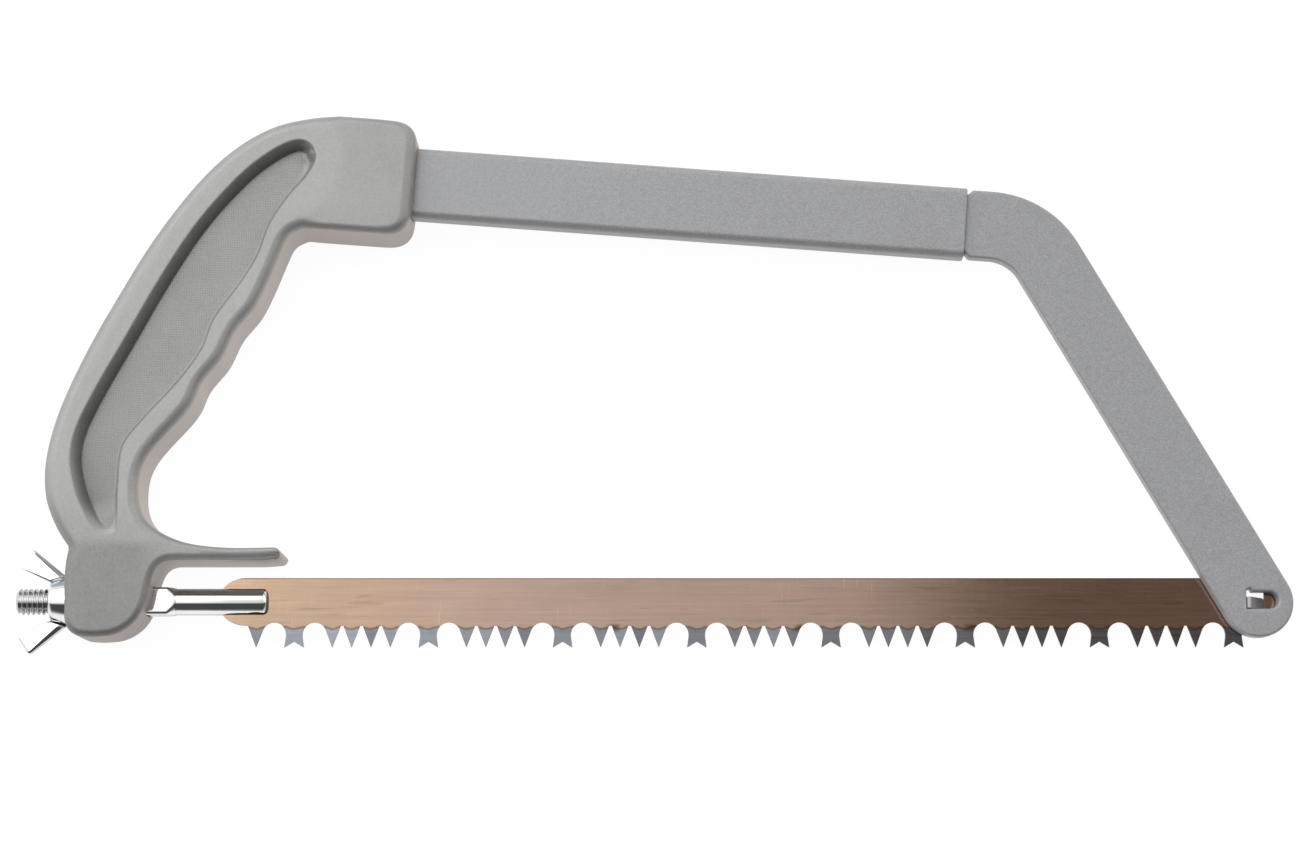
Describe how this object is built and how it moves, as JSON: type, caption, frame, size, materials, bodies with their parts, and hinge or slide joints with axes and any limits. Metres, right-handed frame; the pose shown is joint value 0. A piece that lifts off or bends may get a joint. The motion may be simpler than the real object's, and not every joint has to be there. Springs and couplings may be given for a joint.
{
  "type": "collapsible saw",
  "caption": "Take-down bow saw with a cast pistol handle, a plug-in tube and bent front arm, and a toothed blade drawn tight by a wing-nut drawbar; the blade swings off its hook.",
  "frame": {"origin": "on the handle's flat back face, under the drawbar's axis, at the middle of the drawbar's boss", "axes": "+X along the blade from the handle to the front arm, +Y from the blade to the frame tube, +Z from the back of the saw to its front"},
  "size_m": [0.3509, 0.1493, 0.022],
  "materials": {
    "cast_handle": "bead-blasted casting",
    "painted_tube": "silver-grey metallic powder coat",
    "painted_arm": "silver-grey metallic powder coat",
    "bare_steel": "bare",
    "lacquered_blade": "copper-toned lacquer with ground teeth",
    "plated_drawbar": "bright plated",
    "pin_steel": "plain",
    "plated_nut": "bright plated"
  },
  "bodies": {
    "handle": {"handle": "cast_handle"},
    "tube": {"frame_tube": "painted_tube"},
    "arm": {"front_arm": "painted_arm", "blade_hook": "bare_steel"},
    "drawbar": {"drawbar": "plated_drawbar", "blade_pin": "pin_steel"},
    "nut": {"wing_nut": "plated_nut"},
    "blade": {"saw_blade": "lacquered_blade"}
  },
  "joints": [
    {"name": "wing_nut_turn", "type": "hinge", "parent": "handle", "child": "nut", "pos_m": [-0.0133, 0, 0.00937], "axis": [-1, 0, 0], "range_deg": [0, 3240]},
    {"name": "drawbar_slide", "type": "slide", "parent": "handle", "child": "drawbar", "axis": [1, 0, 0], "range_m": [0, 0.0127]},
    {"name": "tube_slide", "type": "slide", "parent": "handle", "child": "tube", "axis": [0.9973, -0.0741, 0], "range_m": [0, 0.00637]},
    {"name": "arm_slide", "type": "slide", "parent": "tube", "child": "arm", "axis": [0.9973, -0.0741, 0], "range_m": [0, 0.00637]},
    {"name": "blade_swing", "type": "hinge", "parent": "drawbar", "child": "blade", "pos_m": [0.0382, 0, 0.00937], "axis": [0, 0, -1], "range_deg": [0, 70]}
  ],
  "couplings": [
    {"joint": "wing_nut_turn", "follows": "drawbar_slide", "rad_per_m": 4453},
    {"joint": "tube_slide", "follows": "drawbar_slide", "ratio": 0.50138},
    {"joint": "arm_slide", "follows": "drawbar_slide", "ratio": 0.50138}
  ]
}
